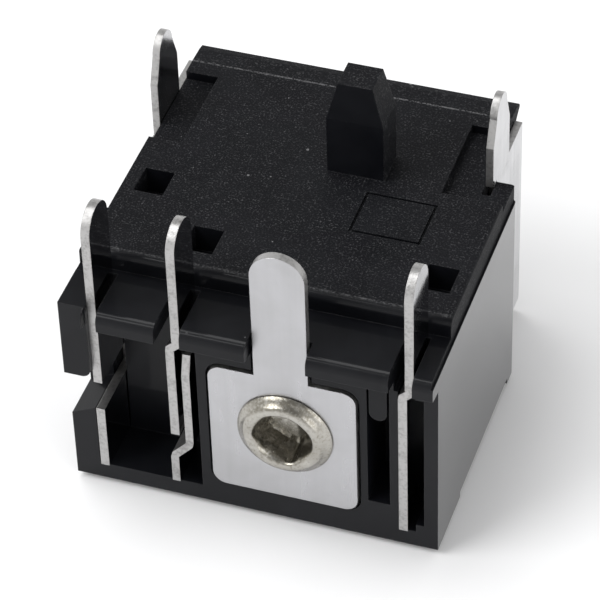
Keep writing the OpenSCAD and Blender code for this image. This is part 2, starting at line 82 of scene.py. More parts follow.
class NodeBench:
    """Places and joins shader nodes in one tree."""

    COLUMN_WIDTH = 180
    FIRST_COLOUR, SECOND_COLOUR, MIXED_COLOUR = 6, 7, 2

    def __init__(self, tree: bpy.types.NodeTree) -> None:
        """Starts on an empty tree.

        Args:
            tree: The material, world or group tree to fill.
        """
        self.tree = tree
        self.tree.nodes.clear()
        self._column = 0

    def add(self, kind: str, label: str = "", **settings: Any) -> bpy.types.Node:
        """Adds one node and sets its properties.

        Args:
            kind: The node's type name.
            label: What the node stands for.
            **settings: Property names and their values.

        Returns:
            The new node.
        """
        node = self.tree.nodes.new(kind)
        node.location = (self._column * self.COLUMN_WIDTH, 0)
        self._column += 1
        if label:
            node.name = node.label = label
        for name, value in settings.items():
            setattr(node, name, value)
        return node

    def join(self, source: Socket, target: Socket) -> None:
        """Joins an output to an input."""
        self.tree.links.new(source, target)

    def fix(self, node: bpy.types.Node, values: dict[str, Any]) -> None:
        """Sets the inputs that are the same everywhere.

        Args:
            node: The node.
            values: The inputs' values, by name.
        """
        for name, value in values.items():
            node.inputs[name].default_value = value

    def math(self, operation: str, first: Any, second: Any = None, clamp: bool = False) -> Socket:
        """Adds a Math node.

        Args:
            operation: The node's operation.
            first: A socket or a number.
            second: A socket or a number, or None for one-input operations.
            clamp: Whether the result is kept between 0 and 1.

        Returns:
            The node's output.
        """
        node = self.add("ShaderNodeMath", operation=operation, use_clamp=clamp)
        for place, value in enumerate((first, second)):
            if value is None:
                continue
            if isinstance(value, Socket):
                self.join(value, node.inputs[place])
            else:
                node.inputs[place].default_value = value
        return node.outputs[0]

    def plus(self, first: Any, second: Any, clamp: bool = False) -> Socket:
        """Adds two values."""
        return self.math("ADD", first, second, clamp)

    def less(self, first: Any, second: Any, clamp: bool = False) -> Socket:
        """Takes the second value from the first."""
        return self.math("SUBTRACT", first, second, clamp)

    def times(self, first: Any, second: Any, clamp: bool = False) -> Socket:
        """Multiplies two values."""
        return self.math("MULTIPLY", first, second, clamp)

    def largest(self, first: Any, *others: Any) -> Socket:
        """Takes the largest of several values.

        Args:
            first: A socket.
            *others: More sockets or numbers.

        Returns:
            The largest.
        """
        for other in others:
            first = self.math("MAXIMUM", first, other)
        return first

    def spread(self, value: Socket, source: Range, target: Range = (0.0, 1.0)) -> Socket:
        """Maps a range of a value onto another range, clamped.

        Args:
            value: The value to map.
            source: The values that give the ends of the target.
            target: The results at those values.

        Returns:
            The mapped value.
        """
        node = self.add("ShaderNodeMapRange", clamp=True)
        self.join(value, node.inputs["Value"])
        ends = zip(("From Min", "From Max", "To Min", "To Max"), (*source, *target))
        self.fix(node, dict(ends))
        return node.outputs["Result"]

    def blend(self, factor: Socket, first: Any, second: Any) -> Socket:
        """Mixes two colours.

        Args:
            factor: How much of the second colour shows.
            first: A colour or a colour socket.
            second: A colour or a colour socket.

        Returns:
            The mixed colour.
        """
        node = self.add("ShaderNodeMix", data_type="RGBA")
        self.join(factor, node.inputs["Factor"])
        for place, value in ((self.FIRST_COLOUR, first), (self.SECOND_COLOUR, second)):
            if isinstance(value, Socket):
                self.join(value, node.inputs[place])
            else:
                node.inputs[place].default_value = (*value, 1.0)
        return node.outputs[self.MIXED_COLOUR]

    def place(self) -> Socket:
        """Gives the Object coordinates."""
        return self.add("ShaderNodeTexCoord").outputs["Object"]

    def split(self, vector: Socket) -> Sockets:
        """Splits a vector into its parts.

        Args:
            vector: The vector.

        Returns:
            The parts, by the names X, Y and Z.
        """
        parts = self.add("ShaderNodeSeparateXYZ")
        self.join(vector, parts.inputs["Vector"])
        return parts.outputs

    def noise(self, vector: Socket, scale: Socket, **settings: float) -> Socket:
        """Adds a solid noise.

        Args:
            vector: Where the noise is read.
            scale: How fine it is.
            **settings: Its other inputs, by name.

        Returns:
            The noise, about a middle of 0.5.
        """
        node = self.add("ShaderNodeTexNoise", noise_dimensions="3D")
        self.join(vector, node.inputs["Vector"])
        self.join(scale, node.inputs["Scale"])
        self.fix(node, {name.capitalize(): value for name, value in settings.items()})
        return node.outputs["Fac"]

    def effect(self, group: bpy.types.NodeTree, **values: float) -> Sockets:
        """Places a shared effect.

        Args:
            group: The effect.
            **values: Its inputs, by name.

        Returns:
            The effect's outputs.
        """
        node = self.add("ShaderNodeGroup", group.name)
        node.node_tree = group
        self.fix(node, {name.capitalize(): value for name, value in values.items()})
        return node.outputs


@dataclass(frozen=True)
class Effect:
    """A surface effect: a node group with named number inputs, and outputs."""

    title: ClassVar[str]
    outputs: ClassVar[tuple[str, ...]]
    vectors: ClassVar[tuple[str, ...]] = ()
    inputs: ClassVar[dict[str, float]] = {}

    def build(self) -> bpy.types.NodeTree:
        """Builds the effect's group.

        Returns:
            The group.
        """
        tree = bpy.data.node_groups.new(self.title, "ShaderNodeTree")
        face = tree.interface
        for name, value in self.inputs.items():
            socket = face.new_socket(name, in_out="INPUT", socket_type="NodeSocketFloat")
            socket.default_value = value
        for name in self.outputs:
            face.new_socket(name, in_out="OUTPUT", socket_type="NodeSocketFloat")
        for name in self.vectors:
            face.new_socket(name, in_out="OUTPUT", socket_type="NodeSocketVector")
        bench = NodeBench(tree)
        entry = bench.add("NodeGroupInput")
        leave = bench.add("NodeGroupOutput")
        self.fill(bench, entry.outputs, leave.inputs)
        return tree

    def fill(self, bench: NodeBench, entry: Sockets, leave: Sockets) -> None:
        """Fills in the group's nodes; each effect has its own.

        Args:
            bench: The bench of the group.
            entry: The group's inputs.
            leave: The group's outputs.
        """
        raise NotImplementedError


@dataclass(frozen=True)
class SparkGrain(Effect):
    """The fine grain that a spark-eroded mould leaves: its height, and its crests, where a sparkle
    highlight is painted.
    """

    title: ClassVar[str] = "spark_grain"
    inputs: ClassVar[dict[str, float]] = {"Scale": 9000.0, "Crest": 0.66}
    outputs: ClassVar[tuple[str, ...]] = ("Height", "Crests")

    fine_detail: float = 3.0
    fine_rough: float = 0.62
    fine_share: float = 0.7
    coarse_detail: float = 1.0
    coarse_scale: float = 0.21
    crest_gain: float = 5.5
    cluster: Range = (0.40, 0.66)
    sparkle_share: Range = (0.35, 1.0)

    def fill(self, bench: NodeBench, entry: Sockets, leave: Sockets) -> None:
        """Sets fine grain over coarse, and gathers the crests in loose clusters.

        Args:
            bench: The bench of the group.
            entry: The group's inputs.
            leave: The group's outputs.
        """
        place = bench.place()
        fine = bench.noise(place, entry["Scale"], detail=self.fine_detail, roughness=self.fine_rough)
        scale = bench.times(entry["Scale"], self.coarse_scale)
        coarse = bench.noise(place, scale, detail=self.coarse_detail)
        low = bench.times(coarse, 1.0 - self.fine_share)
        bench.join(bench.plus(bench.times(fine, self.fine_share), low), leave["Height"])
        # The crests are where the sparkle highlight is painted.
        over = bench.times(bench.less(fine, entry["Crest"]), self.crest_gain, clamp=True)
        gathered = bench.spread(coarse, self.cluster, self.sparkle_share)
        bench.join(bench.times(over, gathered), leave["Crests"])


@dataclass(frozen=True)
class Handling(Effect):
    """The soft smudges and the few fine scuffs that handling leaves."""

    title: ClassVar[str] = "handling"
    inputs: ClassVar[dict[str, float]] = {"Scale": 420.0}
    outputs: ClassVar[tuple[str, ...]] = ("Smudge", "Scuff")

    cloud_detail: float = 4.0
    cloud_warp: float = 0.6
    smudged: Range = (0.40, 0.68)
    line_turn: tuple[float, float, float] = (0.5, 0.35, 0.8)
    line_stretch: tuple[float, float, float] = (1.0, 0.06, 1.0)
    line_detail: float = 2.0
    line_scale: float = 14.0
    scuffed: Range = (0.70, 0.76)

    def fill(self, bench: NodeBench, entry: Sockets, leave: Sockets) -> None:
        """Makes smudges of a warped cloud and scuffs of a stretched noise.

        Args:
            bench: The bench of the group.
            entry: The group's inputs.
            leave: The group's outputs.
        """
        place = bench.place()
        cloud = bench.noise(place, entry["Scale"], detail=self.cloud_detail, distortion=self.cloud_warp)
        bench.join(bench.spread(cloud, self.smudged), leave["Smudge"])
        turned = bench.add("ShaderNodeMapping")
        bench.fix(turned, {"Rotation": self.line_turn, "Scale": self.line_stretch})
        bench.join(place, turned.inputs["Vector"])
        scale = bench.times(entry["Scale"], self.line_scale)
        lines = bench.noise(turned.outputs["Vector"], scale, detail=self.line_detail)
        bench.join(bench.spread(lines, self.scuffed), leave["Scuff"])


@dataclass(frozen=True)
class Rolling(Effect):
    """The long faint streaks that rolling leaves on sheet, and the plating's fine pits."""

    title: ClassVar[str] = "rolling"
    inputs: ClassVar[dict[str, float]] = {"Scale": 2600.0, "Stretch": 0.05}
    outputs: ClassVar[tuple[str, ...]] = ("Streak", "Pits")

    streak_detail: float = 3.0
    pit_detail: float = 2.0
    pit_scale: float = 3.0

    def fill(self, bench: NodeBench, entry: Sockets, leave: Sockets) -> None:
        """Pulls the streaks out along Z and leaves the pits round.

        Args:
            bench: The bench of the group.
            entry: The group's inputs.
            leave: The group's outputs.
        """
        place = bench.place()
        across = bench.add("ShaderNodeCombineXYZ")
        bench.fix(across, {"X": 1.0, "Y": 1.0})
        bench.join(entry["Stretch"], across.inputs["Z"])
        pull = bench.add("ShaderNodeVectorMath", operation="MULTIPLY")
        bench.join(place, pull.inputs[0])
        bench.join(across.outputs["Vector"], pull.inputs[1])
        streak = bench.noise(pull.outputs["Vector"], entry["Scale"], detail=self.streak_detail)
        bench.join(streak, leave["Streak"])
        scale = bench.times(entry["Scale"], self.pit_scale)
        bench.join(bench.noise(place, scale, detail=self.pit_detail), leave["Pits"])


@dataclass(frozen=True)
class Facing(Effect):
    """Which way a flat face looks: up, to the sides or to the ends."""

    title: ClassVar[str] = "facing"
    outputs: ClassVar[tuple[str, ...]] = ("Up", "Side", "End")

    upward: Range = (0.80, 0.97)
    sideways: Range = (0.85, 0.97)

    def fill(self, bench: NodeBench, entry: Sockets, leave: Sockets) -> None:
        """Masks the faces by their true normals.

        Args:
            bench: The bench of the group.
            entry: The group's inputs.
            leave: The group's outputs.
        """
        shape = bench.add("ShaderNodeNewGeometry")
        normal = bench.split(shape.outputs["True Normal"])
        bench.join(bench.spread(normal["Z"], self.upward), leave["Up"])
        for axis, name in (("X", "Side"), ("Y", "End")):
            steep = bench.math("ABSOLUTE", normal[axis])
            bench.join(bench.spread(steep, self.sideways), leave[name])


@dataclass(frozen=True)
class Level(Effect):
    """What lies above a height."""

    title: ClassVar[str] = "level"
    inputs: ClassVar[dict[str, float]] = {"Height": 0.0}
    outputs: ClassVar[tuple[str, ...]] = ("Above",)

    def fill(self, bench: NodeBench, entry: Sockets, leave: Sockets) -> None:
        """Puts out 1 above the height and 0 below it.

        Args:
            bench: The bench of the group.
            entry: The group's inputs.
            leave: The group's outputs.
        """
        height = bench.split(bench.place())["Z"]
        bench.join(bench.math("GREATER_THAN", height, entry["Height"]), leave["Above"])


@dataclass(frozen=True)
class Flank(Effect):
    """What lies at the outer sides, away from the walls inside."""

    title: ClassVar[str] = "flank"
    inputs: ClassVar[dict[str, float]] = {"Distance": 0.0}
    outputs: ClassVar[tuple[str, ...]] = ("Outer",)

    def fill(self, bench: NodeBench, entry: Sockets, leave: Sockets) -> None:
        """Puts out 1 beyond the distance from the middle and 0 within it.

        Args:
            bench: The bench of the group.
            entry: The group's inputs.
            leave: The group's outputs.
        """
        off = bench.math("ABSOLUTE", bench.split(bench.place())["X"])
        bench.join(bench.math("GREATER_THAN", off, entry["Distance"]), leave["Outer"])


@dataclass(frozen=True)
class Flecks(Effect):
    """A few small light flecks, as dust and nicks leave them."""

    title: ClassVar[str] = "flecks"
    inputs: ClassVar[dict[str, float]] = {"Scale": 2300.0, "Rare": 0.9, "Size": 0.13}
    outputs: ClassVar[tuple[str, ...]] = ("Fleck",)

    least: float = 0.4

    def fill(self, bench: NodeBench, entry: Sockets, leave: Sockets) -> None:
        """Puts out 1 near the middles of a few cells and 0 elsewhere.

        Args:
            bench: The bench of the group.
            entry: The group's inputs.
            leave: The group's outputs.
        """
        cells = bench.add("ShaderNodeTexVoronoi", voronoi_dimensions="3D", feature="F1")
        bench.join(bench.place(), cells.inputs["Vector"])
        bench.join(entry["Scale"], cells.inputs["Scale"])
        chance = bench.add("ShaderNodeSeparateColor")
        bench.join(cells.outputs["Color"], chance.inputs["Color"])
        chosen = bench.math("GREATER_THAN", chance.outputs["Red"], entry["Rare"])
        reach = bench.times(entry["Size"], bench.plus(self.least, chance.outputs["Green"]))
        near = bench.math("LESS_THAN", cells.outputs["Distance"], reach)
        bench.join(bench.times(chosen, near), leave["Fleck"])


@dataclass(frozen=True)
class Crease(Effect):
    """The line along X where a face turns down, where a highlight line is painted."""

    title: ClassVar[str] = "crease"
    inputs: ClassVar[dict[str, float]] = {"Place": 0.0, "Reach": 0.05 * MM}
    outputs: ClassVar[tuple[str, ...]] = ("Near",)

    def fill(self, bench: NodeBench, entry: Sockets, leave: Sockets) -> None:
        """Puts out how near the line is.

        Args:
            bench: The bench of the group.
            entry: The group's inputs.
            leave: The group's outputs.
        """
        along = bench.split(bench.place())["Y"]
        off = bench.math("ABSOLUTE", bench.less(along, entry["Place"]))
        share = bench.math("DIVIDE", off, entry["Reach"])
        bench.join(bench.less(1.0, share, clamp=True), leave["Near"])


@dataclass(frozen=True)
class Edges(Effect):
    """The edges, where moulding is rounded and plating is rubbed, and their rounded normal."""

    title: ClassVar[str] = "edges"
    inputs: ClassVar[dict[str, float]] = {"Radius": 0.05 * MM}
    outputs: ClassVar[tuple[str, ...]] = ("Near",)
    vectors: ClassVar[tuple[str, ...]] = ("Normal",)

    samples: int = 4
    turned: Range = (0.99, 0.82)

    def fill(self, bench: NodeBench, entry: Sockets, leave: Sockets) -> None:
        """Sets the rounded normal against the plain one.

        Args:
            bench: The bench of the group.
            entry: The group's inputs.
            leave: The group's outputs.
        """
        shape = bench.add("ShaderNodeNewGeometry")
        rounded = bench.add("ShaderNodeBevel", samples=self.samples)
        bench.join(entry["Radius"], rounded.inputs["Radius"])
        turn = bench.add("ShaderNodeVectorMath", operation="DOT_PRODUCT")
        bench.join(rounded.outputs["Normal"], turn.inputs[0])
        bench.join(shape.outputs["Normal"], turn.inputs[1])
        bench.join(bench.spread(turn.outputs["Value"], self.turned), leave["Near"])
        bench.join(rounded.outputs["Normal"], leave["Normal"])


class EffectShelf:
    """The shared surface effects, each built once."""

    def __init__(self) -> None:
        """Builds every effect."""
        self.grain = SparkGrain().build()
        self.handling = Handling().build()
        self.rolling = Rolling().build()
        self.facing = Facing().build()
        self.edges = Edges().build()
        self.level = Level().build()
        self.flank = Flank().build()
        self.flecks = Flecks().build()
        self.crease = Crease().build()


@dataclass(frozen=True)
class Finish:
    """A surface finish; each kind fills in its own nodes."""

    name: str

    def build(self, shelf: EffectShelf) -> bpy.types.Material:
        """Builds the material.

        Args:
            shelf: The shared effects.

        Returns:
            The finished material.
        """
        material = bpy.data.materials.new(self.name)
        material.use_nodes = True
        bench = NodeBench(material.node_tree)
        skin = bench.add("ShaderNodeBsdfPrincipled", "skin")
        out = bench.add("ShaderNodeOutputMaterial", "out")
        bench.join(skin.outputs["BSDF"], out.inputs["Surface"])
        self.fill(bench, skin, shelf)
        return material

    def fill(self, bench: NodeBench, skin: bpy.types.Node, shelf: EffectShelf) -> None:
        """Gives the skin its look; each kind of finish has its own.

        Args:
            bench: The bench of the material.
            skin: The surface shader.
            shelf: The shared effects.
        """
        raise NotImplementedError


@dataclass(frozen=True)
class Relief:
    """A fine relief on a surface."""

    height: float
    strength: float

    def raise_on(
        self, bench: NodeBench, skin: bpy.types.Node, shape: Socket, base: Socket | None = None
    ) -> None:
        """Gives the skin the relief.

        Args:
            bench: The bench of the material.
            skin: The surface shader.
            shape: The relief's shape, from 0 to 1.
            base: The normal that the relief stands on, if not the plain one.
        """
        bump = bench.add("ShaderNodeBump", "relief")
        if base is not None:
            bench.join(base, bump.inputs["Normal"])
        bench.fix(bump, {"Strength": self.strength, "Distance": self.height})
        bench.join(shape, bump.inputs["Height"])
        bench.join(bump.outputs["Normal"], skin.inputs["Normal"])


@dataclass(frozen=True)
class HighlitCrease:
    """A crease along X with a painted highlight line."""

    place: float
    reach: float
    share: float


@dataclass
class MouldingMasks:
    """Where the moulding is grained, marked, near an edge and at an outer side."""

    grain: Sockets
    marks: Sockets
    edges: Sockets
    up: Socket
    board: Socket
    grained: Socket
    side: Socket
    rim: Socket


@dataclass(frozen=True)
class MouldedBlack(Finish):
    """Black moulding: grained on the board face, polished on its outer sides, with a painted sparkle
    highlight on its grain crests, a painted highlight line along two creases, and edges partly rubbed
    and partly painted with highlight.
    """

    colour: Colour = (0.0037, 0.0040, 0.0054)
    # The crest colour is a painted sparkle highlight on the grain crests.
    crest: Colour = (0.105, 0.105, 0.110)
    dust: Colour = (0.016, 0.017, 0.020)
    # The rubbed colour is edge wear, partly a painted edge highlight.
    rubbed: Colour = (0.060, 0.060, 0.064)
    # The fleck colour serves the dust flecks and the painted highlight line along the creases.
    fleck_and_crease_highlight: Colour = (0.22, 0.22, 0.225)
    sparkle_share: float = 0.72
    dust_share: float = 0.22
    rubbed_and_highlit_share: float = 0.45
    fleck_share: float = 0.6
    fleck_rare: float = 0.93
    fleck_size: float = 0.11
    # Creases of the board face where a highlight line is painted.
    creases: tuple[HighlitCrease, ...] = (
        HighlitCrease(-6.75 * MM, 0.07 * MM, 0.55),
        HighlitCrease(4.92 * MM, 0.08 * MM, 0.22),
    )
    crease_breaks: Range = (0.42, 0.56)
    rim_breaks: Range = (0.42, 0.60)
    mark_scale: float = 430.0
    grain_scale: float = 12500.0
    grain_crest: float = 0.53
    relief: Relief = Relief(height=0.024 * MM, strength=0.85)
    smooth_depth: float = 0.05
    board_level: float = 9.8 * MM
    band_level: float = 9.3 * MM
    flank_place: float = 6.5 * MM
    edge_radius: float = 0.06 * MM
    moulded: float = 0.36
    rough_face: float = 0.60
    smudge_rough: float = 0.06
    scuff_rough: float = 0.10
    skin_ior: float = 1.5
    skin_level: float = 0.11
    coat_ior: float = 1.6
    polish: float = 0.07
    smooth_coat: float = 0.14
    rim_coat: float = 0.35

    def fill(self, bench: NodeBench, skin: bpy.types.Node, shelf: EffectShelf) -> None:
        """Fills in the moulding's nodes.

        Args:
            bench: The bench of the material.
            skin: The surface shader.
            shelf: The shared effects.
        """
        masks = self.masks(bench, shelf)
        bench.join(self.tone(bench, shelf, masks), skin.inputs["Base Color"])
        self.set_gloss(bench, skin, masks)
        depth = bench.plus(self.smooth_depth, bench.times(masks.grained, 1.0 - self.smooth_depth))
        dulled = bench.times(masks.grain["Height"], depth)
        shape = bench.times(dulled, bench.less(1.0, masks.side))
        self.relief.raise_on(bench, skin, shape, masks.edges["Normal"])

    def masks(self, bench: NodeBench, shelf: EffectShelf) -> MouldingMasks:
        """Finds the moulding's kinds of surface.

        Args:
            bench: The bench of the material.
            shelf: The shared effects.

        Returns:
            The masks.
        """
        grain = bench.effect(shelf.grain, scale=self.grain_scale, crest=self.grain_crest)
        marks = bench.effect(shelf.handling, scale=self.mark_scale)
        edges = bench.effect(shelf.edges, radius=self.edge_radius)
        facing = bench.effect(shelf.facing)
        above_step = bench.effect(shelf.level, height=self.board_level)["Above"]
        board = bench.times(facing["Up"], above_step)
        band = bench.effect(shelf.level, height=self.band_level)["Above"]
        outer = bench.effect(shelf.flank, distance=self.flank_place)["Outer"]
        return MouldingMasks(
            grain=grain,
            marks=marks,
            edges=edges,
            up=facing["Up"],
            board=board,
            grained=bench.largest(board, bench.times(facing["Side"], band)),
            side=bench.times(bench.times(facing["Side"], bench.less(1.0, band)), outer),
            rim=bench.times(edges["Near"], bench.spread(grain["Height"], self.rim_breaks)),
        )

    def tone(self, bench: NodeBench, shelf: EffectShelf, masks: MouldingMasks) -> Socket:
        """Colours the moulding.

        Args:
            bench: The bench of the material.
            shelf: The shared effects.
            masks: The moulding's kinds of surface.

        Returns:
            The colour, with painted sparkle highlight on its crests, dust, flecks, a painted highlight
            line along its creases, and edges partly rubbed and partly painted with highlight.
        """
        # Painted sparkle highlight: the grain crests are painted lighter.
        painted_sparkles = bench.times(masks.grain["Crests"], masks.grained)
        grained = bench.blend(bench.times(painted_sparkles, self.sparkle_share), self.colour, self.crest)
        smudge = bench.times(masks.marks["Smudge"], self.dust_share)
        dusty = bench.blend(smudge, grained, self.dust)
        flecks = bench.effect(shelf.flecks, rare=self.fleck_rare, size=self.fleck_size)
        light = bench.times(bench.times(flecks["Fleck"], masks.up), self.fleck_share)
        # Painted highlight line along the creases, broken by the grain.
        lines = [
            bench.times(
                bench.effect(shelf.crease, place=crease.place, reach=crease.reach)["Near"],
                crease.share,
            )
            for crease in self.creases
        ]
        broken = bench.spread(masks.grain["Height"], self.crease_breaks)
        crease = bench.times(bench.times(bench.largest(*lines), masks.board), broken)
        # The fleck colour goes on the dust flecks and on the painted crease highlight line.
        flecked_and_highlit = bench.blend(bench.largest(light, crease), dusty, self.fleck_and_crease_highlight)
        # The edges are partly rubbed and partly painted with highlight.
        return bench.blend(bench.times(masks.rim, self.rubbed_and_highlit_share), flecked_and_highlit, self.rubbed)

    def set_gloss(self, bench: NodeBench, skin: bpy.types.Node, masks: MouldingMasks) -> None:
        """Sets how rough the moulding is and where a polished coat lies on it.

        Args:
            bench: The bench of the material.
            skin: The surface shader.
            masks: The moulding's kinds of surface.
        """
        plain = bench.spread(masks.grained, (0.0, 1.0), (self.moulded, self.rough_face))
        smudged = bench.plus(plain, bench.times(masks.marks["Smudge"], self.smudge_rough))
        scuffed = bench.plus(smudged, bench.times(masks.marks["Scuff"], self.scuff_rough))
        bench.join(scuffed, skin.inputs["Roughness"])
        smooth = bench.times(bench.less(1.0, masks.grained), self.smooth_coat)
        coat = bench.largest(masks.side, smooth, bench.times(masks.rim, self.rim_coat))
        bench.join(coat, skin.inputs["Coat Weight"])
        bench.fix(skin, {"IOR": self.skin_ior, "Specular IOR Level": self.skin_level})
        bench.fix(skin, {"Coat IOR": self.coat_ior, "Coat Roughness": self.polish})


@dataclass(frozen=True)
class PlatedSheet(Finish):
    """Bright plate on rolled sheet with duller sheared edges."""

    across: Across = Across.X
    colour: Colour = (0.56, 0.56, 0.575)
    dull: Colour = (0.43, 0.43, 0.435)
    sheared: Colour = (0.46, 0.455, 0.45)
    torn: Colour = (0.25, 0.245, 0.24)
    patch_share: float = 0.45
    streak_share: float = 0.25
    streaked: Range = (0.35, 0.70)
    torn_breaks: Range = (0.48, 0.72)
    roughness: float = 0.30
    edge_rough: float = 0.40
    streak: float = 0.09
    wear: float = 0.145
    mark_scale: float = 520.0
    roll_scale: float = 2600.0
    stretch: float = 0.05
    grain_scale: float = 7000.0
    edge_radius: float = 0.045 * MM
    relief: Relief = Relief(height=0.004 * MM, strength=0.6)
    streak_height: float = 0.6
    pit_height: float = 0.4
    grain_height: float = 2.5

    def fill(self, bench: NodeBench, skin: bpy.types.Node, shelf: EffectShelf) -> None:
        """Fills in the sheet's nodes.

        Args:
            bench: The bench of the material.
            skin: The surface shader.
            shelf: The shared effects.
        """
        rolled = bench.effect(shelf.rolling, scale=self.roll_scale, stretch=self.stretch)
        marks = bench.effect(shelf.handling, scale=self.mark_scale)
        edges = bench.effect(shelf.edges, radius=self.edge_radius)
        grain = bench.effect(shelf.grain, scale=self.grain_scale)["Height"]
        flat = bench.effect(shelf.facing)[self.across.value]
        cut = bench.less(1.0, flat, clamp=True)
        patch = bench.times(marks["Smudge"], self.patch_share)
        streaks = bench.spread(rolled["Streak"], self.streaked)

        darkening = bench.plus(patch, bench.times(streaks, self.streak_share), clamp=True)
        face = bench.blend(darkening, self.colour, self.dull)
        edge = bench.blend(bench.spread(grain, self.torn_breaks), self.sheared, self.torn)
        bench.join(bench.blend(cut, face, edge), skin.inputs["Base Color"])
        bench.fix(skin, {"Metallic": 1.0})

        rough = bench.plus(self.roughness, bench.times(streaks, self.streak))
        for mark in (marks["Scuff"], patch):
            rough = bench.plus(rough, bench.times(mark, self.wear))
        sheared = bench.times(cut, self.edge_rough - self.roughness)
        bench.join(bench.plus(rough, sheared), skin.inputs["Roughness"])

        streaky = bench.times(rolled["Streak"], self.streak_height)
        sheet = bench.plus(streaky, bench.times(rolled["Pits"], self.pit_height))
        broken = bench.times(bench.times(grain, cut), self.grain_height)
        self.relief.raise_on(bench, skin, bench.plus(sheet, broken), edges["Normal"])


@dataclass(frozen=True)
class TurnedPin(Finish):
    """Plated turned metal, with its plate rubbed and stained in patches, and painted shade in patches
    on its upward-facing faces.
    """

    colour: Colour = (0.47, 0.455, 0.42)
    # The dull colour serves the real stains and the painted shade on upward faces.
    dull: Colour = (0.24, 0.225, 0.19)
    roughness: float = 0.27
    scuff_rough: float = 0.12
    mark_scale: float = 1100.0
    pit_scale: float = 3200.0
    pit_stretch: float = 0.9
    smudge_share: float = 0.45
    stain_share: float = 0.5
    stained: Range = (0.52, 0.68)
    painted_top_shade: Range = (0.12, 0.55)
    painted_top_shade_breaks: Range = (0.36, 0.56)
    painted_top_shade_share: Range = (0.35, 1.0)
    relief: Relief = Relief(height=0.004 * MM, strength=0.6)

    def fill(self, bench: NodeBench, skin: bpy.types.Node, shelf: EffectShelf) -> None:
        """Fills in the turned metal's nodes.

        Args:
            bench: The bench of the material.
            skin: The surface shader.
            shelf: The shared effects.
        """
        marks = bench.effect(shelf.handling, scale=self.mark_scale)
        pits = bench.effect(shelf.rolling, scale=self.pit_scale, stretch=self.pit_stretch)["Pits"]
        shape = bench.add("ShaderNodeNewGeometry")
        # Painted shade: upward-facing faces are painted darker, in patches broken by the pits.
        upward = bench.spread(bench.split(shape.outputs["Normal"])["Z"], self.painted_top_shade)
        painted_top_shade = bench.times(upward, bench.spread(pits, self.painted_top_shade_breaks, self.painted_top_shade_share))
        stain = bench.times(bench.spread(pits, self.stained), self.stain_share)
        smudge = bench.times(marks["Smudge"], self.smudge_share)
        # The dull colour covers the real stains and smudges and the painted shade on upward faces.
        darkening = bench.largest(bench.plus(smudge, stain, clamp=True), painted_top_shade)
        bench.join(bench.blend(darkening, self.colour, self.dull), skin.inputs["Base Color"])
        bench.fix(skin, {"Metallic": 1.0})
        rough = bench.plus(self.roughness, bench.times(marks["Scuff"], self.scuff_rough))
        bench.join(rough, skin.inputs["Roughness"])
        self.relief.raise_on(bench, skin, pits)


@dataclass(frozen=True)
class StudioPaint(Finish):
    """The plain pale paint of the studio floor."""

    colour: Colour = (0.86, 0.86, 0.865)
    trodden: Colour = (0.83, 0.83, 0.835)
    smudge_share: float = 0.10
    mark_scale: float = 18.0
    roughness: float = 0.7

    def fill(self, bench: NodeBench, skin: bpy.types.Node, shelf: EffectShelf) -> None:
        """Fills in the paint's nodes.

        Args:
            bench: The bench of the material.
            skin: The surface shader.
            shelf: The shared effects.
        """
        marks = bench.effect(shelf.handling, scale=self.mark_scale)
        smudge = bench.times(marks["Smudge"], self.smudge_share)
        bench.join(bench.blend(smudge, self.colour, self.trodden), skin.inputs["Base Color"])
        bench.fix(skin, {"Roughness": self.roughness})


@dataclass
class DressedNode:
    """A solid of the jack with its finish."""

    node: str
    finish: Finish

    def dress(self, shelf: EffectShelf, made: dict[str, bpy.types.Material]) -> None:
        """Puts the finish into every material slot of the solid.

        Args:
            shelf: The shared effects.
            made: The finishes that are built already, by name.
        """
        if self.finish.name not in made:
            made[self.finish.name] = self.finish.build(shelf)
        solid = bpy.data.objects[self.node]
        if not solid.material_slots:
            solid.data.materials.append(made[self.finish.name])
        for slot in solid.material_slots:
            slot.material = made[self.finish.name]
        log.info("%s wears %s", self.node, self.finish.name)


@dataclass
class ShapedPiece:
    """A piece that this file shapes itself, which rides on the jack."""

    name: ClassVar[str]
    material_slot: ClassVar[str]

    def shape(self) -> bmesh.types.BMesh:
        """Shapes the piece in its place; each piece has its own way."""
        raise NotImplementedError

    def build(self, finish: bpy.types.Material) -> bpy.types.Object:
        """Makes the piece, finishes it and rides it on the jack.

        Args:
            finish: What the piece is finished in.

        Returns:
            The piece.
        """
        shape = self.shape()
        bmesh.ops.recalc_face_normals(shape, faces=shape.faces[:])
        mesh = bpy.data.meshes.new(self.name)
        shape.to_mesh(mesh)
        shape.free()
        piece = bpy.data.objects.new(self.name, mesh)
        bpy.context.scene.collection.objects.link(piece)
        mesh.materials.append(finish)
        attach(piece, "root")
        return piece


@dataclass(frozen=True)
class CrimpWave:
    """One of the waves that together make the lobes of the crimping punch."""

    count: int
    share: float
    start: float


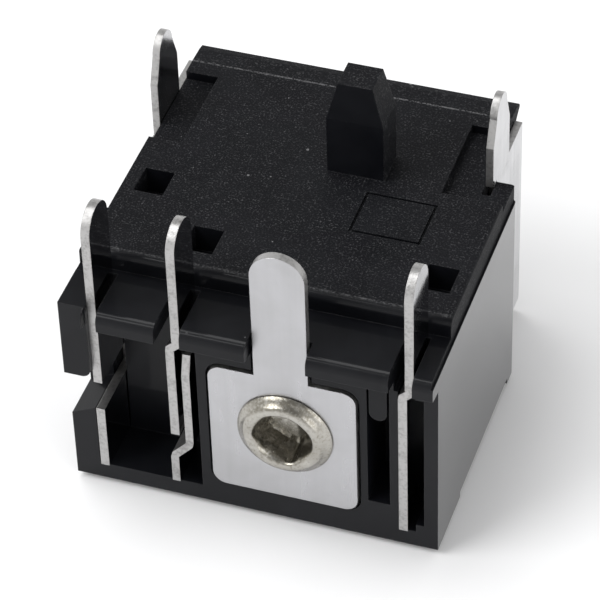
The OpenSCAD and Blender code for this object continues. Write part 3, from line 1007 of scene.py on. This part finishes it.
@dataclass
class RolledPin(ShapedPiece):
    """The centre pin, turned in one piece, with its tail rolled over the plate behind."""

    name: ClassVar[str] = "rolled_pin"
    material_slot: ClassVar[str] = "pin_metal"

    axis_x: float
    axis_z: float
    tip: float
    plate: float
    root: float = 3.0 * MM
    pin: float = 1.0 * MM
    tip_round: float = 0.42 * MM
    shank: float = 1.4 * MM
    neck: float = 0.38 * MM
    hole: float = 1.04 * MM
    steps: int = 96
    sharp: float = math.radians(32)
    same: float = 1e-7

    rim_outline: ClassVar[tuple[tuple[float, float], ...]] = (
        (1.25, -0.34), (1.25, 0.02), (1.90, 0.02), (1.91, 0.06), (1.87, 0.13), (1.77, 0.20),
        (1.67, 0.28), (1.61, 0.36), (1.54, 0.43), (1.45, 0.465), (1.36, 0.47), (1.27, 0.45),
        (1.20, 0.40), (1.15, 0.32), (1.11, 0.18), (1.08, -0.05),
    )
    wall_depths: ClassVar[tuple[float, ...]] = (0.20, 0.35, 0.50, 0.65, 0.80)
    floor_shares: ClassVar[tuple[float, ...]] = (0.88, 0.6, 0.3, 0.0)
    floor_edge: float = 0.95
    floor_dish: float = 0.20

    rim: float = 0.47 * MM
    lobe_depth: float = 0.10 * MM
    lobes: ClassVar[tuple[CrimpWave, ...]] = (
        CrimpWave(4, 1.0, 0.6),
        CrimpWave(7, 0.45, 0.0),
        CrimpWave(11, 0.25, 1.0),
    )
    crimp_depth: float = 2.0 * MM
    crimp_from: float = 0.2 * MM
    crimp_to: float = 1.29 * MM
    crimp_end: float = 1.32 * MM
    crimp_fade: float = 0.12 * MM
    full_depth: float = 0.55 * MM
    least_crimp: float = 0.12

    @classmethod
    def from_frame(cls) -> RolledPin:
        """Takes the pin's axis, its tip and the plate that its tail holds from the solids.

        Returns:
            The pin.
        """
        low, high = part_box("centre_pin")
        axis = (low + high) / 2
        return cls(axis_x=axis.x, axis_z=axis.z, tip=low.y, plate=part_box("centre_terminal")[1].y)

    def profile(self) -> list[tuple[float, float]]:
        """Gives the outline from the tip over the rolled tail to the hole's floor.

        Returns:
            Pairs of radius and place along the pin, in metres.
        """
        dome = []
        for step in range(0, 91, 15):
            turn = math.radians(step)
            inset = self.tip_round * (1 - math.sin(turn))
            dome.append((self.pin - inset, self.tip + self.tip_round * (1 - math.cos(turn))))
        rim = [(radius * MM, self.plate + out * MM) for radius, out in self.rim_outline]
        wall = [(self.hole, self.plate - depth * MM) for depth in self.wall_depths]
        floor = []
        for share in self.floor_shares:
            depth = self.floor_edge + self.floor_dish * (1.0 - share)
            floor.append((self.hole * share, self.plate - depth * MM))
        shank = [(self.pin, self.root), (self.shank, self.root)]
        neck = (self.shank, self.plate - self.neck)
        return [(0.0, self.tip), *dome, *shank, neck, *rim, *wall, *floor]

    def shape(self) -> bmesh.types.BMesh:
        """Turns the pin about its axis and crimps its tail.

        Returns:
            The pin's shape.
        """
        shape = bmesh.new()
        line = [
            shape.verts.new((self.axis_x + radius, along, self.axis_z))
            for radius, along in self.profile()
        ]
        outline = [shape.edges.new(pair) for pair in zip(line, line[1:])]
        bmesh.ops.spin(
            shape,
            geom=line + outline,
            cent=(self.axis_x, 0.0, self.axis_z),
            axis=(0.0, 1.0, 0.0),
            angle=math.tau,
            steps=self.steps,
            use_merge=True,
        )
        bmesh.ops.remove_doubles(shape, verts=shape.verts[:], dist=self.same)
        self.crimp(shape)
        return shape

    def crimp(self, shape: bmesh.types.BMesh) -> None:
        """Presses the lobes of the crimping punch into the hole's wall.

        Args:
            shape: The turned pin.
        """
        for vertex in shape.verts:
            across = vertex.co.x - self.axis_x
            up = vertex.co.z - self.axis_z
            radius = math.hypot(across, up)
            depth = self.plate + self.rim - vertex.co.y
            if depth > self.crimp_depth or not self.crimp_from < radius < self.crimp_to:
                continue
            turn = math.atan2(up, across)
            wave = sum(w.share * math.cos(w.count * turn + w.start) for w in self.lobes)
            deep = min(1.0, max(self.least_crimp, depth / self.full_depth))
            inside = min(1.0, (self.crimp_end - radius) / self.crimp_fade)
            grown = radius + self.lobe_depth * wave * deep * inside
            vertex.co.x = self.axis_x + across * grown / radius
            vertex.co.z = self.axis_z + up * grown / radius

    def build(self, finish: bpy.types.Material) -> bpy.types.Object:
        """Makes the pin, smooths it and lets it stand for the plain one.

        Args:
            finish: The pin's metal.

        Returns:
            The pin.
        """
        piece = super().build(finish)
        piece.data.shade_smooth()
        piece.data.set_sharp_from_angle(angle=self.sharp)
        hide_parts("centre_pin")
        return piece


@dataclass
class EarFlank(ShapedPiece):
    """The inner flank of the ear beside the switch blade, rounded at its foot."""

    name: ClassVar[str] = "ear_flank"
    material_slot: ClassVar[str] = "black_plastic"
    overlap: ClassVar[float] = 0.005 * MM

    inner: float
    outer: float
    front: float = 5.6 * MM
    back: float = 7.555 * MM
    foot: float = 5.94 * MM
    top: float = 9.555 * MM
    curl: float = 0.37 * MM
    curl_steps: int = 6

    @classmethod
    def from_frame(cls) -> EarFlank:
        """Fits the flank between the switch blade and the housing's outer wall.

        Returns:
            The flank, which reaches a hair into the blade and stands a hair proud of the wall.
        """
        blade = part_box("switch_terminal")[1].x
        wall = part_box("housing")[1].x
        return cls(inner=blade - cls.overlap, outer=wall + cls.overlap)

    def shape(self) -> bmesh.types.BMesh:
        """Moulds the flank as a block and rounds its foot towards the blade.

        Returns:
            The flank's shape.
        """
        shape = bmesh.new()
        low = Vector((self.inner, self.front, self.foot))
        high = Vector((self.outer, self.back, self.top))
        middle = (low + high) / 2
        block = Matrix.Translation(middle) @ Matrix.Diagonal((*(high - low), 1.0))
        bmesh.ops.create_cube(shape, size=1.0, matrix=block)
        foot = [
            edge
            for edge in shape.edges
            if all(v.co.z < middle.z and v.co.x < middle.x for v in edge.verts)
        ]
        bmesh.ops.bevel(
            shape,
            geom=foot,
            offset=self.curl,
            segments=self.curl_steps,
            profile=0.5,
            affect="EDGES",
            material=-1,
        )
        return shape


@dataclass
class Jack:
    """The jack's finishes, the solids that wear them, and its two shaped pieces."""

    moulding: ClassVar[Finish] = MouldedBlack("moulded_black")
    shield: ClassVar[Finish] = PlatedSheet(
        "shield_plate", colour=(0.54, 0.54, 0.55), roughness=0.15
    )
    plate: ClassVar[Finish] = PlatedSheet(
        "contact_plate_y", across=Across.Y, colour=(0.50, 0.50, 0.515), roughness=0.26
    )
    blades: ClassVar[Finish] = PlatedSheet(
        "contact_plate_x", across=Across.X, roughness=0.05, streak=0.03, wear=0.04
    )
    pin: ClassVar[Finish] = TurnedPin("turned_pin")

    solids: ClassVar[tuple[DressedNode, ...]] = (
        DressedNode("housing", moulding),
        DressedNode("shield", shield),
        DressedNode("centre_terminal", plate),
        DressedNode("switch_terminal", blades),
        DressedNode("sleeve_terminal", blades),
        DressedNode("sleeve_spring", blades),
        DressedNode("right_terminal", blades),
        DressedNode("centre_pin", pin),
    )

    def dress(self, shelf: EffectShelf) -> None:
        """Finishes every solid and builds the shaped pieces.

        Args:
            shelf: The shared effects.
        """
        made: dict[str, bpy.types.Material] = {}
        for solid in self.solids:
            solid.dress(shelf, made)
        RolledPin.from_frame().build(made[self.pin.name])
        log.info("rolled_pin stands for centre_pin")
        EarFlank.from_frame().build(made[self.moulding.name])
        log.info("ear_flank fills the ear beside the switch blade")


@dataclass
class Lamp:
    """A soft square lamp that looks at the jack."""

    name: str
    place: Vector
    size: float
    power: float
    aim: Vector = field(default_factory=lambda: Vector((0.0, 0.0, 5.0)) * MM)

    def hang(self) -> None:
        """Makes the lamp, turns it to its aim and puts it in the scene."""
        light = bpy.data.lights.new(self.name, "AREA")
        light.shape = "SQUARE"
        light.size = self.size
        light.energy = self.power
        lamp = bpy.data.objects.new(self.name, light)
        lamp.location = self.place
        lamp.rotation_euler = (self.aim - self.place).to_track_quat("-Z", "Y").to_euler()
        bpy.context.scene.collection.objects.link(lamp)


@dataclass
class Studio:
    """The floor, the surround, the lamps and the camera."""

    floor_half: float = 0.9
    surround: float = 0.72
    ceiling: float = 0.35
    ceiling_rise: Range = (0.30, 0.62)
    eye: Vector = field(default_factory=lambda: Vector((-33.14, 92.03, 93.03)) * MM)
    aim: Vector = field(default_factory=lambda: Vector((-0.4, 1.1, 6.0)) * MM)
    roll: float = -0.035343
    lens: float = 200.0
    film: float = 36.0
    sight: Range = (0.005, 10.0)

    def lay_floor(self, shelf: EffectShelf) -> None:
        """Lays the floor under the shield.

        Args:
            shelf: The shared effects.
        """
        shape = bmesh.new()
        bmesh.ops.create_grid(shape, x_segments=1, y_segments=1, size=self.floor_half)
        mesh = bpy.data.meshes.new("studio_floor")
        shape.to_mesh(mesh)
        shape.free()
        floor = bpy.data.objects.new("studio_floor", mesh)
        bpy.context.scene.collection.objects.link(floor)
        mesh.materials.append(StudioPaint("studio_paint").build(shelf))

    def surround_with_white(self) -> None:
        """Lights the surround plainly; it shows white behind, and darker overhead in metal."""
        world = bpy.data.worlds.new("surround")
        world.use_nodes = True
        bench = NodeBench(world.node_tree)
        sky = bench.add("ShaderNodeBackground", "sky")
        out = bench.add("ShaderNodeOutputWorld", "out")
        rays = bench.add("ShaderNodeLightPath", "rays").outputs
        way = bench.add("ShaderNodeTexCoord", "way")
        mirrored = bench.largest(rays["Is Glossy Ray"], rays["Is Transmission Ray"])
        rise = bench.split(way.outputs["Generated"])["Z"]
        ceiling = bench.spread(rise, self.ceiling_rise, (1.0, self.ceiling))
        seen = bench.largest(rays["Is Camera Ray"], bench.times(mirrored, ceiling))
        unseen = bench.less(1.0, bench.largest(rays["Is Camera Ray"], mirrored))
        strength = bench.plus(seen, bench.times(unseen, self.surround))
        bench.fix(sky, {"Color": (1.0, 1.0, 1.0, 1.0)})
        bench.join(strength, sky.inputs["Strength"])
        bench.join(sky.outputs["Background"], out.inputs["Surface"])
        bpy.context.scene.world = world

    def hang_lamps(self) -> None:
        """Hangs the key, a low fill across from it, and one lamp above."""
        Lamp("key", Vector((0.45, 0.35, 0.60)), size=0.45, power=3.4).hang()
        Lamp("fill", Vector((-0.60, 0.35, 0.30)), size=0.50, power=1.2).hang()
        Lamp("top", Vector((0.25, -0.10, 0.80)), size=0.35, power=2.0).hang()

    def set_camera(self) -> None:
        """Sets the camera behind the contacts, above the board face."""
        lens = bpy.data.cameras.new("camera")
        lens.lens = self.lens
        lens.sensor_width = self.film
        lens.clip_start, lens.clip_end = self.sight
        camera = bpy.data.objects.new("camera", lens)
        level = (self.aim - self.eye).to_track_quat("-Z", "Y")
        turned = level @ Quaternion((0.0, 0.0, 1.0), self.roll)
        camera.matrix_world = Matrix.Translation(self.eye) @ turned.to_matrix().to_4x4()
        bpy.context.scene.collection.objects.link(camera)
        bpy.context.scene.camera = camera

    def build(self, shelf: EffectShelf) -> None:
        """Builds the whole studio.

        Args:
            shelf: The shared effects.
        """
        self.lay_floor(shelf)
        self.surround_with_white()
        self.hang_lamps()
        self.set_camera()
        bpy.context.scene.view_settings.view_transform = "Standard"
        log.info("studio ready")


def plain(box: Any) -> list[list[float]]:
    """Turns a box into plain lists.

    Args:
        box: The lowest and highest corners.

    Returns:
        The same numbers as lists.
    """
    return [[float(number) for number in corner] for corner in box]


def main() -> None:
    """Loads the solids, dresses them and builds the studio."""
    logging.basicConfig(level=logging.INFO, format="%(name)s: %(message)s")
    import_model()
    shelf = EffectShelf()
    Studio().build(shelf)
    Jack().dress(shelf)


if __name__ == "__main__":
    main()
